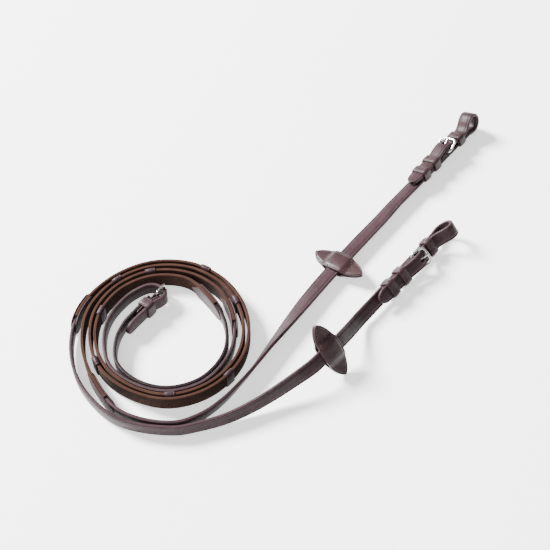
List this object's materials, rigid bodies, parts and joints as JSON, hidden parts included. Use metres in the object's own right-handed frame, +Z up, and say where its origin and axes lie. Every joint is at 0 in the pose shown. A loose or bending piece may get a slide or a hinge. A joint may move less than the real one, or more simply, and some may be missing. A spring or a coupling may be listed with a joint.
{
  "type": "reins",
  "caption": "Riding reins of narrow leather and ribbed web, joined by a centre buckle and wound in a coil on edge, with buckled bit loops, finger stops and sliding martingale stops.",
  "frame": {"origin": "middle of the ground under the whole object, coil and both bit ends", "axes": "+X from the coil towards the bit ends, +Y from the outer rein's bit end towards the inner rein's, +Z up from the surface that the coil stands on"},
  "size_m": [0.4732, 0.2026, 0.0422],
  "materials": {
    "strap_leather": "dark brown bridle leather, waxed, with darker burnished edges",
    "keeper_leather": "dark brown bridle leather, satin",
    "facing_leather": "thin dark brown leather, stitched",
    "stop_leather": "dark brown leather with a glossy pressed dome",
    "web": "brown cotton web with fine cross ribs",
    "steel": "polished nickel-plated steel"
  },
  "bodies": {
    "root": {"left_centre_strap": "strap_leather", "right_centre_strap": "strap_leather", "centre_chape": "keeper_leather", "centre_keeper": "keeper_leather", "left_web_grip": "web", "left_centre_splice_inner": "facing_leather", "left_centre_splice_outer": "facing_leather", "left_bit_splice_inner": "facing_leather", "left_bit_splice_outer": "facing_leather", "left_finger_stop_1": "facing_leather", "left_finger_stop_2": "facing_leather", "left_finger_stop_3": "facing_leather", "left_finger_stop_4": "facing_leather", "left_bit_strap": "strap_leather", "left_bit_chape": "keeper_leather", "left_fixed_keeper": "keeper_leather", "right_web_grip": "web", "right_centre_splice_inner": "facing_leather", "right_centre_splice_outer": "facing_leather", "right_bit_splice_inner": "facing_leather", "right_bit_splice_outer": "facing_leather", "right_finger_stop_1": "facing_leather", "right_finger_stop_2": "facing_leather", "right_finger_stop_3": "facing_leather", "right_finger_stop_4": "facing_leather", "right_bit_strap": "strap_leather", "right_bit_chape": "keeper_leather", "right_fixed_keeper": "keeper_leather"},
    "left_bit_frame": {"left_bit_buckle_frame": "steel"},
    "left_bit_tongue": {"left_bit_buckle_tongue": "steel"},
    "right_bit_frame": {"right_bit_buckle_frame": "steel"},
    "right_bit_tongue": {"right_bit_buckle_tongue": "steel"},
    "centre_frame": {"centre_buckle_frame": "steel"},
    "centre_tongue": {"centre_buckle_tongue": "steel"},
    "left_bit_runner": {"left_bit_runner": "keeper_leather"},
    "left_tip_runner": {"left_tip_runner": "keeper_leather"},
    "left_martingale_stop": {"left_martingale_stop_outer": "stop_leather", "left_martingale_stop_inner": "stop_leather"},
    "right_bit_runner": {"right_bit_runner": "keeper_leather"},
    "right_tip_runner": {"right_tip_runner": "keeper_leather"},
    "right_martingale_stop": {"right_martingale_stop_outer": "stop_leather", "right_martingale_stop_inner": "stop_leather"}
  },
  "joints": [
    {"name": "left_bit_frame_hinge", "type": "hinge", "parent": "root", "child": "left_bit_frame", "pos_m": [0.18134, 0.02162, 0.01089], "axis": [0.169, -0.9117, 0.3746], "range_deg": [0, 8]},
    {"name": "left_bit_tongue_hinge", "type": "hinge", "parent": "left_bit_frame", "child": "left_bit_tongue", "pos_m": [0.18134, 0.02162, 0.01089], "axis": [0.169, -0.9117, 0.3746], "range_deg": [0, 26]},
    {"name": "right_bit_frame_hinge", "type": "hinge", "parent": "root", "child": "right_bit_frame", "pos_m": [0.06575, -0.05841, 0.01137], "axis": [0.1264, -0.6957, -0.7071], "range_deg": [0, 8]},
    {"name": "right_bit_tongue_hinge", "type": "hinge", "parent": "right_bit_frame", "child": "right_bit_tongue", "pos_m": [0.06575, -0.05841, 0.01137], "axis": [0.1264, -0.6957, -0.7071], "range_deg": [0, 26]},
    {"name": "centre_frame_hinge", "type": "hinge", "parent": "root", "child": "centre_frame", "pos_m": [-0.13372, 0.05946, 0.0095], "axis": [0, 0, -1], "range_deg": [0, 6]},
    {"name": "centre_tongue_hinge", "type": "hinge", "parent": "centre_frame", "child": "centre_tongue", "pos_m": [-0.13372, 0.05946, 0.0095], "axis": [0, 0, -1], "range_deg": [0, 11]},
    {"name": "left_bit_runner_slide", "type": "slide", "parent": "root", "child": "left_bit_runner", "axis": [0.9833, 0.1822, 0], "range_m": [0, 0.004]},
    {"name": "left_tip_runner_slide", "type": "slide", "parent": "root", "child": "left_tip_runner", "axis": [0.9833, 0.1822, 0], "range_m": [-0.01, 0.006]},
    {"name": "left_martingale_stop_slide", "type": "slide", "parent": "root", "child": "left_martingale_stop", "axis": [0.9787, 0.2052, 0.0013], "range_m": [-0.012, 0.016]},
    {"name": "right_bit_runner_slide", "type": "slide", "parent": "root", "child": "right_bit_runner", "axis": [0.9839, 0.1788, 0], "range_m": [0, 0.004]},
    {"name": "right_tip_runner_slide", "type": "slide", "parent": "root", "child": "right_tip_runner", "axis": [0.9839, 0.1788, 0], "range_m": [-0.01, 0.006]},
    {"name": "right_martingale_stop_slide", "type": "slide", "parent": "root", "child": "right_martingale_stop", "axis": [0.993, 0.1115, 0.0381], "range_m": [-0.012, 0]}
  ]
}
